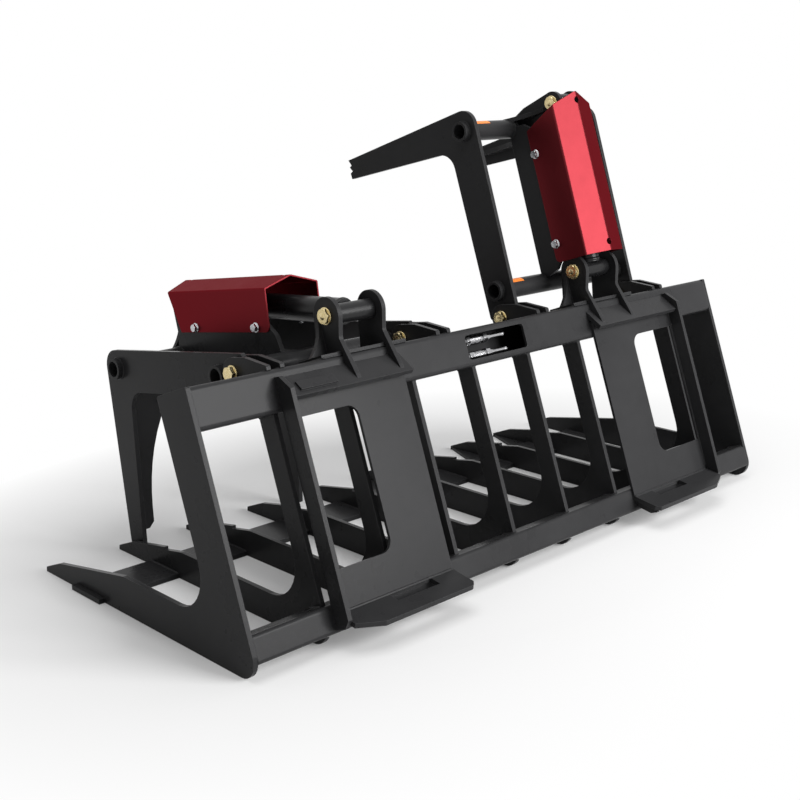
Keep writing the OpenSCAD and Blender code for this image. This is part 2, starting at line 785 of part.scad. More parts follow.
tine(1);  // tine_1
tine(2);  // tine_2
tine(3);  // tine_3
tine(4);  // tine_4
tine(5);  // tine_5
tine(6);  // tine_6
tine(7);  // tine_7
tine(8);  // tine_8
tine(9);  // tine_9
tine(10);  // tine_10
top_beam();
bottom_beam();
cross_bar();
mirror([1, 0, 0]) qa_plate();  // qa_plate_left
qa_plate();  // qa_plate_right
mirror([1, 0, 0]) qa_flange();  // qa_flange_left
qa_flange();  // qa_flange_right
mirror([1, 0, 0]) qa_ledge(true);  // qa_ledge_left
qa_ledge(false);  // qa_ledge_right
hinge_ears(0);  // hinge_ears_lo
hinge_ears(1);  // hinge_ears_li
hinge_ears(2);  // hinge_ears_ri
hinge_ears(3);  // hinge_ears_ro
hinge_bolt(0);  // hinge_bolt_lo
hinge_bolt(1);  // hinge_bolt_li
hinge_bolt(2);  // hinge_bolt_ri
hinge_bolt(3);  // hinge_bolt_ro
bracket(-clamp_x);  // bracket_left
bracket(clamp_x);  // bracket_right
base_pin_piece(-clamp_x);  // base_pin_left
base_pin_piece(clamp_x);  // base_pin_right
coupler(coupler_s[0]);  // coupler_upper
coupler(coupler_s[1]);  // coupler_lower
hook_outer(-clamp_x, 0, 1);  // hook_outer_left
hook_inner(-clamp_x, 0, 1);  // hook_inner_left
cross_tube(-clamp_x, 0, front_tube);  // tube_front_left
cross_tube(-clamp_x, 0, rear_tube);  // tube_rear_left
side_plates(-clamp_x, 0);  // side_plates_left
cheeks(-clamp_x, 0);  // cheeks_left
guard(-clamp_x, 0);  // guard_left
guard_bolts(-clamp_x, 0);  // guard_bolts_left
rod_pin_piece(-clamp_x, 0);  // rod_pin_left
hook_outer(clamp_x, open_a, -1);  // hook_outer_right
hook_inner(clamp_x, open_a, -1);  // hook_inner_right
cross_tube(clamp_x, open_a, front_tube);  // tube_front_right
cross_tube(clamp_x, open_a, rear_tube);  // tube_rear_right
side_plates(clamp_x, open_a);  // side_plates_right
cheeks(clamp_x, open_a);  // cheeks_right
guard(clamp_x, open_a);  // guard_right
guard_bolts(clamp_x, open_a);  // guard_bolts_right
rod_pin_piece(clamp_x, open_a);  // rod_pin_right
barrel(-clamp_x, 0);  // barrel_left
gland(-clamp_x, 0);  // gland_left
rod(-clamp_x, 0);  // rod_left
barrel(clamp_x, open_a);  // barrel_right
gland(clamp_x, open_a);  // gland_right
rod(clamp_x, open_a);  // rod_right
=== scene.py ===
"""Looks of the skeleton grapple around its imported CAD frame: finishes, fasteners, guards, welds and light."""

import math

import bmesh
import bpy
from mathutils import Matrix, Vector


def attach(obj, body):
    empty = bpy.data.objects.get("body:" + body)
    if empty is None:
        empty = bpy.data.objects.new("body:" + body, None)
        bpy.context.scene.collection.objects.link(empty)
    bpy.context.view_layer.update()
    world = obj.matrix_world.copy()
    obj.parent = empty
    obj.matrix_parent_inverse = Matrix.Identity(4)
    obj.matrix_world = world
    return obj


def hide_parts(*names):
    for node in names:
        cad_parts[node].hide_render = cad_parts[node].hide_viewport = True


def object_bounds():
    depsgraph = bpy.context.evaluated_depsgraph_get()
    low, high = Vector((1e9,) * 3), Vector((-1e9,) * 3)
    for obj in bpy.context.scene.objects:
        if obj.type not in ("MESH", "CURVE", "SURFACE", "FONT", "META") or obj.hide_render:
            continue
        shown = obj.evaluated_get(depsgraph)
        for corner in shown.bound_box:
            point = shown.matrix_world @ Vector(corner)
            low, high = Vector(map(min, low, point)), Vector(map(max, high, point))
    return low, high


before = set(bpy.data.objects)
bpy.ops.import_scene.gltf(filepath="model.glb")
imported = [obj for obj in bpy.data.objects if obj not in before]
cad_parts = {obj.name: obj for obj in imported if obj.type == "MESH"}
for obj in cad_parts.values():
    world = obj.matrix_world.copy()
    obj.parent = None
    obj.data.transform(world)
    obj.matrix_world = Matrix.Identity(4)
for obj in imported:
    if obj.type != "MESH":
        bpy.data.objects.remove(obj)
cad_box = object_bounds()

# Lengths are in mm, and MM makes metres of them
MM = 0.001
# The pieces are drawn from the foot of the leaning rear plane; the part's origin is this far ahead of it
MID_Y = 366.385
HOME = Matrix.Translation((0, -MID_Y * MM, 0))

# Frame: tines, the two beams, the flat bar on the tines, and the quick attach plates with their flanges
LEAN = math.radians(19.7)
FRAME_W = 1524.0
TINE_T = 9.5
PITCH = (FRAME_W - TINE_T) / 9
TOP_BEAM, TOP_FACE = 76.0, 503.0
TOP_UNDER = TOP_FACE - TOP_BEAM
BOTTOM_BEAM, BOTTOM_FACE = 50.8, 84.3
OPENING_X, OPENING_W = -14.0, 176.0
BAR_REAR, BAR_FRONT, BAR_T = 474.0, 574.0, 9.5
ATTACH_T = 6.35
FLANGE_IN = 572.5

# Cylinder brackets on the top beam, and the plates that brackets, hinges and clamps are cut from
SADDLE_T, SADDLE_HALF = 6.35, 105.0
EAR_OUT = 58.7
WEB_FRONT = 50.0
PLATE_T = 9.5
HINGE_GAP = 5.5

# Clamps: PIVOT and BASE_PIN are Y and Z in the frame, the others lie in the clamp's own plane
PIVOT = (272.1, 450.1)
BASE_PIN = (213.4, 538.3)
ROD_PIN = (447.8, 48.3)
FRONT_TUBE = (409.0, -60.3)
REAR_TUBE = (57.9, -17.1)
TUBE_R = 21.0
ARM_SLOPE = math.radians(-8.1)
CLAMP_X = 361.5
CLAMP_HALF = 214.0
HOOK_T = 9.5
CHEEK_IN = 26.0
PIN_R = 12.7
# Middle of each clamp, and how far it stands open
SIDES = {"left": (-CLAMP_X, 0.0), "right": (CLAMP_X, math.radians(79.6))}
# Left face of the hook at each hinge: left outer, left inner, right inner and right outer
HINGES = {"lo": -CLAMP_X - CLAMP_HALF, "li": -CLAMP_X + CLAMP_HALF - HOOK_T,
          "ri": CLAMP_X - CLAMP_HALF, "ro": CLAMP_X + CLAMP_HALF - HOOK_T}

# Guards, in the arm's sloping frame: heights of the lower edge, the side bends and the ridge,
# where the front ends at each of them, and where the rear ends
GUARD_HALF = 66.6
GUARD_T = 3.0
GUARD_LOW, GUARD_MID, GUARD_TOP = 50.1, 134.9, 154.3
FRONT_LOW, FRONT_MID, FRONT_TOP = 392.1, 425.9, 450.1
GUARD_REAR = 92.2
BOLTS_ALONG, BOLTS_UP = (134.0, 338.0), 59.6

# Hose ports of a cylinder: places from the base pin, and depth of their faces below its axis
PORTS = (44.0, 266.0)
PORT_FACE = -34.0

# Quick couplers: depth of their axes, and each one's place up the slope
COUPLER_DEPTH = 20.0
COUPLERS = {"coupler_upper": 479.0, "coupler_lower": 447.0}

# Light and view, in metres, watts and degrees; FILL is the strength of the world's own light on the object
FILL = 0.15
LAMP_AIM = (0, -0.1, 0.35)
LAMPS = {"softbox": ((1.62, -4.35, 2.2), 2.8, 3.2, 352),
         "overhead": ((-0.4, 0.0, 4.4), 3.4, 3.4, 75)}
VIEW_FROM = (-1.8717, -1.4810, 0.9640)
VIEW_YAW, VIEW_PITCH, VIEW_ROLL = -44.03, 75.29, -0.4
VIEW_FOCAL, VIEW_WIDTH = 1242.42, 800.0
SENSOR = 36.0


class Wire:
    """One value in a material; arithmetic on it adds the Math nodes."""

    def __init__(self, shop, socket):
        self.shop = shop
        self.socket = socket

    def math(self, operation, *values):
        return self.shop.node("Math", {"operation": operation}, *values)

    def __add__(self, other):
        return self.math("ADD", self, other)

    __radd__ = __add__

    def __sub__(self, other):
        return self.math("SUBTRACT", self, other)

    def __rsub__(self, other):
        return self.math("SUBTRACT", other, self)

    def __mul__(self, other):
        return self.math("MULTIPLY", self, other)

    __rmul__ = __mul__

    def clipped(self):
        return self.math("MINIMUM", self.math("MAXIMUM", self, 0.0), 1.0)


class PaintShop:
    """Node tree of one finish, or of the world round the object."""

    def __init__(self, name, kind="materials"):
        self.material = getattr(bpy.data, kind).new(name)
        self.material.use_nodes = True
        self.tree = self.material.node_tree
        self.tree.nodes.clear()

    def node(self, kind, settings=None, *values, out=0, **named):
        """Any node: its settings, then its sockets by place or by name, as values or wires."""
        made = self.tree.nodes.new("ShaderNode" + kind)
        for key, value in (settings or {}).items():
            setattr(made, key, value)
        for slot, value in list(enumerate(values)) + [(k.replace("_", " "), v) for k, v in named.items()]:
            if isinstance(value, Wire):
                self.tree.links.new(value.socket, made.inputs[slot])
            elif value is not None:
                made.inputs[slot].default_value = value
        return Wire(self, made.outputs[out])

    def here(self):
        return self.node("TexCoord", out="Object")

    def noise(self, scale, detail=2.0, roughness=0.5):
        return self.node("TexNoise", None, Vector=self.here(), Scale=scale, Detail=detail, Roughness=roughness)

    def blend(self, factor, first, second):
        """Colour between two colours."""
        return self.node("Mix", {"data_type": "RGBA"}, factor, None, None, None, None, None, first, second, out=2)

    def rounded(self, radius):
        """Surface direction with the plate edges broken by a small radius."""
        return self.node("Bevel", {"samples": 6}, Radius=radius)

    def edge(self, rounded):
        """1 on a broken edge, 0 on a flat."""
        flat = self.node("NewGeometry", out="Normal")
        same = self.node("VectorMath", {"operation": "DOT_PRODUCT"}, rounded, flat, out="Value")
        return ((1.0 - same) * 6.0).clipped()

    def seen(self):
        """1 where the camera, a mirror or a glass looks, 0 where light is gathered."""
        rays = [self.node("LightPath", out="Is %s Ray" % kind) for kind in ("Camera", "Glossy", "Transmission")]
        return (rays[0] + rays[1] + rays[2]).clipped()

    def surface(self, shader, output="OutputMaterial"):
        output = self.tree.nodes.new("ShaderNode" + output)
        self.tree.links.new(shader.socket, output.inputs["Surface"])
        return self.material


def scaled(colour, factor):
    """A colour made lighter or darker, and never over 1."""
    return tuple(min(1.0, factor * channel) for channel in colour[:3]) + (1.0,)


def powder_coat(name, tint, bright, rough, metallic=0.0, peel=0.05, shine=0.08, rim_tint=(1, 1, 1, 1)):
    """Powder coat: fine orange peel, a slow change of sheen, and a painted highlight that lightens the broken
    edges.
    """
    shop = PaintShop(name)
    broken = shop.rounded(0.0011)
    rim = shop.edge(broken)
    slow = shop.noise(4.5, 4.0, 0.6)
    cloud = shop.noise(38.0, 3.0)
    grain = shop.noise(1500.0, 1.0)
    colour = shop.blend(((slow - 0.35) * 0.9 + (cloud - 0.5) * 0.25).clipped(), tint, bright)
    # painted highlight: the broken edges are lightened towards a brighter copy of the coat
    colour = shop.blend(rim * 0.35, colour, scaled(bright, 3.4))
    gloss = rough + (slow - 0.5) * 0.16 + (cloud - 0.5) * 0.06
    bump = shop.node("Bump", None, Strength=peel, Distance=0.0006, Height=grain, Normal=broken)
    return shop.surface(shop.node(
        "BsdfPrincipled", None, Base_Color=colour, Roughness=gloss, Metallic=metallic, Normal=bump,
        Specular_IOR_Level=shine, Specular_Tint=rim_tint))


def plated(name, tint, bright, rough, grain_size=260.0):
    """Zinc or chrome plate: small cloudy changes of colour, fine tool marks, and a painted highlight on the
    broken edges.
    """
    shop = PaintShop(name)
    broken = shop.rounded(0.0006)
    rim = shop.edge(broken)
    cloud = shop.noise(grain_size, 3.0, 0.6)
    mark = shop.noise(2400.0, 1.0)
    colour = shop.blend(((cloud - 0.3) * 1.6).clipped(), tint, bright)
    # painted highlight: the broken edges are lightened towards a brighter copy of the plate
    colour = shop.blend(rim * 0.5, colour, scaled(bright, 1.25))
    bump = shop.node("Bump", None, Strength=0.04, Distance=0.0003, Height=mark, Normal=broken)
    return shop.surface(shop.node(
        "BsdfPrincipled", None, Base_Color=colour, Roughness=rough + (cloud - 0.5) * 0.16,
        Metallic=1.0, Normal=bump))


def stripe_film(name, tint):
    """Plain reflective film, a little worn."""
    shop = PaintShop(name)
    cell = shop.node("TexVoronoi", {"feature": "DISTANCE_TO_EDGE"}, Vector=shop.here(), Scale=420.0)
    dust = shop.noise(90.0, 3.0)
    colour = shop.blend((dust * 0.35).clipped(), tint, scaled(tint, 0.72))
    bump = shop.node("Bump", None, Strength=0.15, Distance=0.0002, Height=cell)
    return shop.surface(shop.node(
        "BsdfPrincipled", None, Base_Color=colour, Roughness=0.38 + dust * 0.1, Normal=bump))


def wiper_rubber(name):
    """Rubber of the rod wipers: matt and dusty, with faint slanting lines."""
    shop = PaintShop(name)
    lines = shop.node("TexWave", {"wave_type": "BANDS", "bands_direction": "DIAGONAL"},
                      Vector=shop.here(), Scale=210.0, Distortion=0.4)
    dust = shop.noise(60.0, 3.0)
    colour = shop.blend(dust * 0.6, (0.012, 0.012, 0.013, 1), (0.035, 0.035, 0.036, 1))
    bump = shop.node("Bump", None, Strength=0.25, Distance=0.0004, Height=lines)
    return shop.surface(shop.node(
        "BsdfPrincipled", None, Base_Color=colour, Roughness=0.62 + dust * 0.12, Normal=bump))


BLACK = powder_coat("black_powder_coat", (0.0235, 0.0235, 0.0244, 1), (0.042, 0.042, 0.0435, 1), 0.29)
RED = powder_coat("red_guard_coat", (0.110, 0.0134, 0.0166, 1), (0.126, 0.0153, 0.0190, 1), 0.40,
                  metallic=1.0, peel=0.03, rim_tint=(0.75, 0.42, 0.43, 1))
BARREL = powder_coat("black_cylinder_paint", (0.008, 0.008, 0.0085, 1), (0.018, 0.018, 0.019, 1), 0.28,
                     peel=0.02, shine=0.2)
GOLD = plated("yellow_zinc", (0.50, 0.40, 0.19, 1), (0.82, 0.71, 0.45, 1), 0.27)
SILVER = plated("bright_zinc", (0.34, 0.35, 0.37, 1), (0.70, 0.71, 0.72, 1), 0.20)
COUPLER = plated("coupler_zinc", (0.34, 0.34, 0.35, 1), (0.50, 0.50, 0.51, 1), 0.17, grain_size=420.0)
CHROME = plated("hard_chrome", (0.72, 0.73, 0.75, 1), (0.88, 0.89, 0.90, 1), 0.12, grain_size=60.0)
ORANGE = stripe_film("orange_film", (0.90, 0.24, 0.035, 1))
RUBBER = wiper_rubber("wiper_rubber")

SLOTS = {BLACK: "black_paint", RED: "red_paint", BARREL: "barrel_paint", GOLD: "gold_zinc",
         SILVER: "silver_zinc", COUPLER: "silver_zinc", CHROME: "chrome"}


def node_finish(node):
    """Finish of a CAD node, by what it is."""
    if node.startswith(("guard_bolts", "coupler")):
        return SILVER
    if node.startswith("guard"):
        return RED
    if node.startswith(("hinge_bolt", "base_pin", "rod_pin")):
        return GOLD
    if node.startswith("rod_"):
        return CHROME
    if node.startswith(("barrel", "gland")):
        return BARREL
    return BLACK


for node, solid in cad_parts.items():
    solid.data.materials.clear()
    solid.data.materials.append(node_finish(node))


def on_slope(x, f, s):
    """Point at depth f forward of the leaning rear plane and s up it."""
    return Vector((x, s * math.sin(LEAN) + f * math.cos(LEAN), s * math.cos(LEAN) - f * math.sin(LEAN))) * MM


def at(x, yz):
    return Matrix.Translation(Vector((x, yz[0], yz[1])) * MM)


def turn_x(angle):
    return Matrix.Rotation(angle, 4, "X")


def turn_y(angle):
    return Matrix.Rotation(angle, 4, "Y")


def turn_z(angle):
    return Matrix.Rotation(angle, 4, "Z")


def clamp_place(side):
    """A clamp's own plane, its pivot at the origin, as the part stands at rest."""
    centre, opened = SIDES[side]
    return at(centre, PIVOT) @ turn_x(opened)


def arm_place(side):
    return clamp_place(side) @ turn_x(ARM_SLOPE)


def arm_of(yz):
    """A point of the clamp's plane in the arm's sloping frame."""
    c, s = math.cos(ARM_SLOPE), math.sin(ARM_SLOPE)
    return (yz[0] * c + yz[1] * s, -yz[0] * s + yz[1] * c)


def cylinder_run(side):
    """From a cylinder's base pin to its rod pin at rest, in Y and Z."""
    opened = SIDES[side][1]
    c, s = math.cos(opened), math.sin(opened)
    pin = (PIVOT[0] + ROD_PIN[0] * c - ROD_PIN[1] * s, PIVOT[1] + ROD_PIN[0] * s + ROD_PIN[1] * c)
    return (pin[0] - BASE_PIN[0], pin[1] - BASE_PIN[1])


def cylinder_place(side):
    """The cylinder's own frame: Y runs from its base pin to its rod pin."""
    run = cylinder_run(side)
    return at(SIDES[side][0], BASE_PIN) @ turn_x(math.atan2(run[1], run[0]))


def mesh_of(name, part):
    mesh = bpy.data.meshes.new(name)
    part.to_mesh(mesh)
    part.free()
    return mesh


def show(name, data):
    """New object in the scene that holds a mesh, a curve, a lamp or a camera."""
    made = bpy.data.objects.new(name, data)
    bpy.context.scene.collection.objects.link(made)
    return made


class Piece:
    """Mesh of one dressed piece, built from parts that are each set in place."""

    def __init__(self, name, finish, body):
        self.name, self.finish, self.body = name, finish, body
        self.bm = bmesh.new()

    def add(self, part, place=Matrix.Identity(4)):
        part.transform(place)
        held = mesh_of("held", part)
        self.bm.from_mesh(held)
        bpy.data.meshes.remove(held)

    def finished(self, angle=35.0, replaces=()):
        """Makes the object; edges sharper than the angle stay crisp."""
        mesh = mesh_of(self.name, self.bm)
        mesh.transform(HOME)
        mesh.shade_smooth()
        mesh.set_sharp_from_angle(angle=math.radians(angle))
        mesh.materials.append(self.finish)
        piece = show(self.name, mesh)
        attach(piece, self.body)
        self.finish in SLOTS
        for cad in replaces:
            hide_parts(cad)


def turned(profile, steps=40):
    """Lathe-turned part about X from points (along, radius)."""
    part = bmesh.new()
    points = [part.verts.new((a * MM, r * MM, 0)) for a, r in profile]
    line = [part.edges.new(pair) for pair in zip(points, points[1:])]
    bmesh.ops.spin(part, geom=points + line, cent=(0, 0, 0), axis=(1, 0, 0), dvec=(0, 0, 0),
                   angle=2 * math.pi, steps=steps, use_merge=True)
    bmesh.ops.remove_doubles(part, verts=part.verts, dist=1e-6)
    bmesh.ops.recalc_face_normals(part, faces=part.faces)
    return part


def bar(x0, x1, radius, steps=40):
    """Plain round bar along X."""
    return turned([(x0, 0), (x0, radius), (x1, radius), (x1, 0)], steps)


def hexagon(flats, x0, x1, chamfer=1.6, both=False):
    """Hexagon bar along X with its corners turned off at the free end, or at both."""
    part = bmesh.new()
    corner_r = flats / math.sqrt(3) * MM
    bmesh.ops.create_cone(part, cap_ends=True, segments=72, radius1=corner_r, radius2=corner_r,
                          depth=abs(x1 - x0) * MM)
    ends = [e for e in part.edges if abs(e.verts[0].co.z - e.verts[1].co.z) < 1e-7
            and (both or e.verts[0].co.z > 0)]
    bmesh.ops.bevel(part, geom=ends, affect="EDGES", offset=chamfer * MM, segments=1, profile=0.5, material=-1)
    for flat in range(6):
        across = Vector((math.cos(flat * math.pi / 3), math.sin(flat * math.pi / 3), 0))
        bmesh.ops.bisect_plane(part, geom=part.verts[:] + part.edges[:] + part.faces[:],
                               plane_co=across * flats / 2 * MM, plane_no=across, clear_outer=True)
        bmesh.ops.holes_fill(part, edges=[e for e in part.edges if e.is_boundary])
    bmesh.ops.recalc_face_normals(part, faces=part.faces)
    lay = turn_y(math.pi / 2 if x1 > x0 else -math.pi / 2)
    part.transform(Matrix.Translation(((x0 + x1) / 2 * MM, 0, 0)) @ lay @ turn_z(math.radians(12)))
    return part


def washer(x0, x1, radius, bore):
    """Flat washer between x0 and x1 with its rims broken."""
    lo, hi = sorted((x0, x1))
    rim = 0.5
    return turned([(lo, bore), (lo, radius - rim), (lo + rim, radius), (hi - rim, radius), (hi, radius - rim),
                   (hi, bore), (lo, bore)])


def thread_end(x0, x1, radius, lead=1.6):
    """Cut thread from x0 to a chamfered end at x1."""
    sign = 1 if x1 > x0 else -1
    count = max(1, int((abs(x1 - x0) - 1.5) / lead))
    profile = [(x0, 0.0), (x0, radius)]
    for i in range(count):
        profile += [(x0 + sign * lead * (i + 0.5), radius - 0.9), (x0 + sign * lead * (i + 1), radius)]
    profile += [(x1 - sign * 0.9, radius), (x1, radius - 1.3), (x1, 0.0)]
    return turned(profile, 32)


def head_boss(sign, x):
    """Low turned boss in the middle of a pin's hexagon head."""
    return turned([(sign * x, 0), (sign * x, 6.5), (sign * (x + 0.5), 5.6), (sign * (x + 0.5), 0)], 32)


def hinge_bolt(key, x):
    """Bolt, washers and nut of one hinge pivot; x is the hook's left face."""
    place = at(0, PIVOT)
    flats, shank, bore = 25.4, 9.5, 9.4
    ears = HINGE_GAP + PLATE_T
    left, right = x - ears, x + HOOK_T + ears
    piece = Piece("bolt_and_nut_" + key, GOLD, "frame")
    piece.add(bar(left - 3, right + 3, shank), place)
    piece.add(washer(left - 3, left, 15.5, bore), place)
    piece.add(hexagon(flats, left - 2.9, left - 12), place)
    piece.add(turned([(left - 12, 0), (left - 12, 7), (left - 12.4, 6.4), (left - 12.4, 0)]), place)
    piece.add(washer(right, right + 3, 15.5, bore), place)
    piece.add(hexagon(flats, right + 2.9, right + 13, both=True), place)
    piece.add(thread_end(right + 12, right + 17.0, 8.6), place)
    for lo, hi in ((x - HINGE_GAP, x - 0.3), (x + HOOK_T + 0.3, x + HOOK_T + HINGE_GAP)):
        piece.add(washer(lo, hi, 14, bore), place)
    piece.finished(replaces=["hinge_bolt_" + key])


def base_pin(side):
    """Through pin of a cylinder's base, with a washer and a chamfered hexagon at each end."""
    place = at(SIDES[side][0], BASE_PIN)
    piece = Piece("base_pin_dressed_" + side, GOLD, "frame")
    piece.add(bar(-EAR_OUT - 2, EAR_OUT + 2, PIN_R), place)
    for sign in (-1, 1):
        piece.add(washer(sign * EAR_OUT, sign * (EAR_OUT + 3), 16.5, PIN_R - 0.1), place)
        piece.add(hexagon(27.0, sign * (EAR_OUT + 2.9), sign * (EAR_OUT + 9), 1.8), place)
        piece.add(head_boss(sign, EAR_OUT + 9), place)
    piece.finished(replaces=["base_pin_" + side])


def rod_pin_halves(side):
    """The two headed halves of the rod pin, one in each cheek plate."""
    place = arm_place(side) @ at(0, arm_of(ROD_PIN))
    piece = Piece("rod_pin_dressed_" + side, GOLD, "clamp_" + side)
    for sign in (-1, 1):
        piece.add(turned([(sign * 18, 0), (sign * 18, 11.9), (sign * 18.8, PIN_R),
                          (sign * 37.5, PIN_R), (sign * 37.5, 0)]), place)
        piece.add(washer(sign * 35.5, sign * 38.5, 16, 12.5), place)
        piece.add(hexagon(25.4, sign * 38.4, sign * 44.5, 1.8), place)
        piece.add(head_boss(sign, 44.5), place)
    piece.finished(replaces=["rod_pin_" + side])


def guard_bolts(side):
    """Four flanged bolts and nuts that hold a guard to the side plates."""
    piece = Piece("guard_screws_" + side, SILVER, "clamp_" + side)
    skin = GUARD_HALF
    inner = GUARD_HALF - GUARD_T - PLATE_T
    flange = ((0, 4.9), (0, 10), (0.8, 10.2), (1.6, 9.4), (2.6, 7.6), (2.6, 4.9), (0, 4.9))
    for along in BOLTS_ALONG:
        place = arm_place(side) @ at(0, (along, BOLTS_UP))
        for sign in (-1, 1):
            piece.add(bar(sign * (skin + 2), sign * (inner - 8), 5, 24), place)
            piece.add(turned([(sign * (skin + out), r) for out, r in flange], 32), place)
            piece.add(hexagon(14.5, sign * (skin + 1.4), sign * (skin + 8), 1.1), place)
            piece.add(hexagon(14.5, sign * inner, sign * (inner - 7), 1.1), place)
    piece.finished(replaces=["guard_bolts_" + side])


def work_in(piece, *modifiers):
    """Adds modifiers to an object and works them into its mesh for good."""
    for kind, settings in modifiers:
        modifier = piece.modifiers.new(kind.lower(), kind)
        for key, value in settings.items():
            setattr(modifier, key, value)
    bpy.context.view_layer.update()
    shaped = piece.evaluated_get(bpy.context.evaluated_depsgraph_get())
    mesh = bpy.data.meshes.new_from_object(shaped)
    piece.modifiers.clear()
    piece.data = mesh


def rake_front(skin):
    """Cuts the guard's front ends off along their rakes: the sides lean forward, and the roof to its ridge."""
    rakes = ((False, (FRONT_LOW, GUARD_LOW), (FRONT_MID, GUARD_MID)),
             (True, (FRONT_MID, GUARD_MID), (FRONT_TOP, GUARD_TOP)))
    for is_roof, first, last in rakes:
        run = Vector((0, last[0] - first[0], last[1] - first[1]))
        faces = [f for f in skin.faces if (abs(f.normal.z) > 0.5) == is_roof]
        edges = {e for f in faces for e in f.edges}
        verts = {v for f in faces for v in f.verts}
        bmesh.ops.bisect_plane(skin, geom=faces + list(edges) + list(verts), clear_outer=False,
                               plane_co=Vector((0, first[0], first[1])) * MM,
                               plane_no=Vector((0, run.z, -run.y)).normalized())

    def is_past(face):
        middle = face.calc_center_median()
        side_end = FRONT_LOW + (middle.z / MM - GUARD_LOW) * 0.4
        roof_end = 437
        return middle.y > (side_end if abs(face.normal.z) < 0.5 else roof_end) * MM

    bmesh.ops.delete(skin, geom=[f for f in skin.faces if is_past(f)], context="FACES")
    bmesh.ops.remove_doubles(skin, verts=skin.verts, dist=1e-6)


def guard_skin():
    """Outer skin of a guard: two sides and a ridged roof with rounded bends and rounded rear corners."""
    drawn_to = 470.0
    skin = bmesh.new()
    outline = [(-GUARD_HALF, GUARD_LOW), (-GUARD_HALF, GUARD_MID), (0, GUARD_TOP), (GUARD_HALF, GUARD_MID),
               (GUARD_HALF, GUARD_LOW)]
    points = [skin.verts.new((x * MM, GUARD_REAR * MM, q * MM)) for x, q in outline]
    line = [skin.edges.new(pair) for pair in zip(points, points[1:])]
    made = bmesh.ops.extrude_edge_only(skin, edges=line)
    moved = [g for g in made["geom"] if isinstance(g, bmesh.types.BMVert)]
    bmesh.ops.translate(skin, verts=moved, vec=(0, (drawn_to - GUARD_REAR) * MM, 0))
    rake_front(skin)
    bends = [e for e in skin.edges if len(e.link_faces) == 2 and e.calc_face_angle() > 0.2]
    bmesh.ops.bevel(skin, geom=bends, affect="EDGES", offset=3.0 * MM, segments=4, profile=0.5, material=-1)
    corners = [v for v in skin.verts if v.co.z < (GUARD_LOW + 1) * MM and v.co.y < (GUARD_REAR + 1) * MM]
    bmesh.ops.bevel(skin, geom=corners, affect="VERTICES", offset=12 * MM, segments=6, profile=0.5, material=-1)
    bmesh.ops.recalc_face_normals(skin, faces=skin.faces)
    if sum(f.normal.z * f.calc_area() for f in skin.faces) < 0:
        bmesh.ops.reverse_faces(skin, faces=skin.faces)
    return skin


def relief_drill():
    """Cutter for the relief hole near each end of a guard's ridge."""
    from_end, radius = 20, 7.5
    drill = bmesh.new()
    for along in (GUARD_REAR + from_end, FRONT_TOP - from_end):
        bmesh.ops.create_cone(drill, cap_ends=True, segments=32, radius1=radius * MM, radius2=radius * MM,
                              depth=40 * MM, matrix=at(0, (along, GUARD_TOP)))
    return drill


def guard(side):
    """Guard folded from sheet: raked front, relief holes on the ridge, and its cut edges broken."""
    piece = show("guard_sheet_" + side, mesh_of("guard_sheet_" + side, guard_skin()))
    cutter = show("relief_drill", mesh_of("relief_drill", relief_drill()))
    work_in(piece,
            ("SOLIDIFY", {"thickness": GUARD_T * MM, "offset": -1.0, "use_even_offset": True}),
            ("BOOLEAN", {"operation": "DIFFERENCE", "object": cutter, "solver": "EXACT"}),
            ("BEVEL", {"width": 0.6 * MM, "segments": 2, "limit_method": "ANGLE",
                       "angle_limit": math.radians(50)}))
    bpy.data.objects.remove(cutter)
    piece.data.transform(HOME @ arm_place(side))
    piece.data.shade_flat()
    piece.data.materials.clear()
    piece.data.materials.append(RED)
    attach(piece, "clamp_" + side)
    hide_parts("guard_" + side)


def quick_coupler(name, s):
    """Quick coupler: two hexagons, grooved sleeve, locking ring, and the bare tube of its nose."""
    x = OPENING_X - OPENING_W / 2
    place = Matrix.Translation(on_slope(0, COUPLER_DEPTH, s)) @ turn_x(-LEAN)
    piece = Piece(name + "_dressed", COUPLER, "frame")
    piece.add(bar(x - 18, x - 2, 8), place)
    piece.add(hexagon(20, x - 3, x + 11, 1.4, both=True), place)
    piece.add(turned([(x + 10, 0), (x + 10, 6.6), (x + 14, 6.2), (x + 17, 6.6), (x + 17, 0)]), place)
    piece.add(hexagon(17, x + 16.5, x + 27, 1.2, both=True), place)
    sleeve = [(x + 26.5, 0), (x + 26.5, 8.2), (x + 28, 9.6)]
    for groove in range(6):
        g = x + 30 + 3.6 * groove
        sleeve += [(g, 9.6), (g + 0.8, 8.6), (g + 1.8, 8.6), (g + 2.6, 9.6)]
    sleeve += [(x + 52, 9.6), (x + 53.5, 8.0), (x + 55, 8.0), (x + 55.6, 9.2), (x + 60, 9.2), (x + 60.6, 7.4),
               (x + 66, 7.4), (x + 66, 0)]
    piece.add(turned(sleeve, 48), place)
    piece.add(hexagon(19, x + 65.5, x + 77, 1.2, both=True), place)
    nose = [(76.5, 0), (76.5, 8.0), (82, 8.0), (83, 6.8), (87, 6.8), (88, 5.2), (124, 5.2), (125, 6.2),
            (128.5, 6.2), (129.5, 5.2), (129.5, 3.2), (120, 3.2), (120, 0)]
    piece.add(turned([(x + along, r) for along, r in nose], 48), place)
    piece.finished(replaces=[name])


